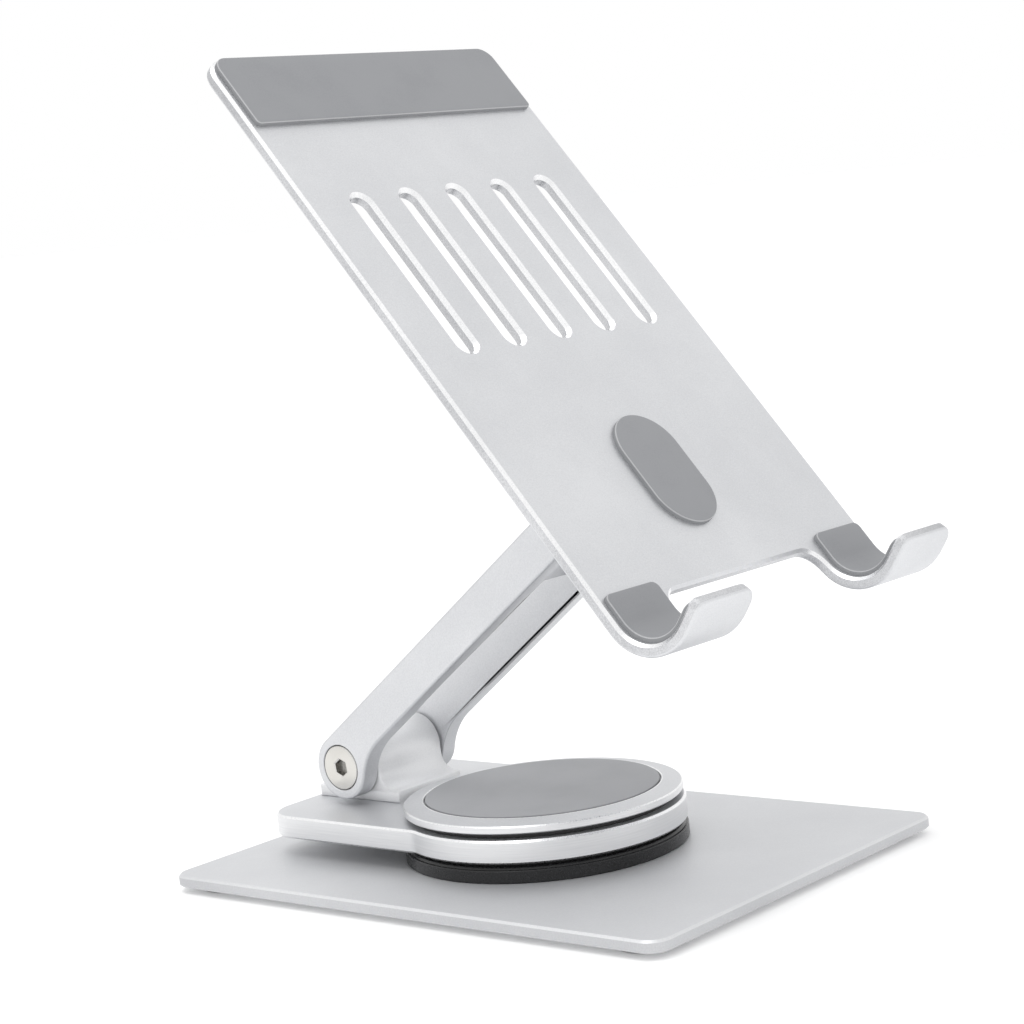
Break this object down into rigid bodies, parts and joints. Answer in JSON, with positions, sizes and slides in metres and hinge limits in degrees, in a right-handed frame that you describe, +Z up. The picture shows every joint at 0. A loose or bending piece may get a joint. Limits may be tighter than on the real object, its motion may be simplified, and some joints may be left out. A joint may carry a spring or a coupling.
{
  "type": "tablet stand",
  "caption": "Folding desk stand for a tablet or phone: slotted tray with two hooks, on a two-hinge arm over a swivelling round turntable and a flat base plate.",
  "frame": {"origin": "on the desk surface, on the axis of the swivel, which is the middle of the base plate", "axes": "+Z up; X along the width of the base and along both hinge axes; -Y towards the user, +Y towards the hinge on the tab"},
  "size_m": [0.12, 0.1807, 0.2159],
  "materials": {
    "silver": "bead blasted and clear anodised, bright cut edges",
    "steel": "satin",
    "silicone": "matte silicone",
    "black": "matte acetal",
    "bronze": "plain sintered bronze"
  },
  "bodies": {
    "base": {"base_plate": "silver", "rubber_feet": "silicone", "middle_foot": "silicone", "bearing_ring": "black", "lower_thrust_washer": "black", "pivot_post": "steel", "post_screws": "steel", "upper_thrust_washer": "black", "cap_disc": "silver", "cap_screws": "steel", "round_pad": "silicone"},
    "turntable": {"swivel_plate": "silver", "lower_bracket": "silver", "lower_bracket_screws": "steel", "lower_bushes": "bronze"},
    "arm": {"arm": "silver", "lower_pivot_screw": "steel", "lower_pivot_nut": "steel", "lower_friction_washers": "steel", "upper_pivot_screw": "steel", "upper_pivot_nut": "steel", "upper_friction_washers": "steel"},
    "tray": {"tray_plate": "silver", "upper_bracket": "silver", "upper_bracket_screws": "steel", "upper_bushes": "bronze", "top_pad": "silicone", "oval_pad": "silicone", "left_hook_pad": "silicone", "right_hook_pad": "silicone"}
  },
  "joints": [
    {"name": "swivel", "type": "hinge", "parent": "base", "child": "turntable", "pos_m": [0, 0, 0], "axis": [0, 0, 1], "continuous": true},
    {"name": "lower_hinge", "type": "hinge", "parent": "turntable", "child": "arm", "pos_m": [0, 0.0553, 0.0261], "axis": [1, 0, 0], "range_deg": [-53.5, 16.5]},
    {"name": "upper_hinge", "type": "hinge", "parent": "arm", "child": "tray", "pos_m": [0, -0.04012, 0.09671], "axis": [1, 0, 0], "range_deg": [-70, 30]}
  ]
}
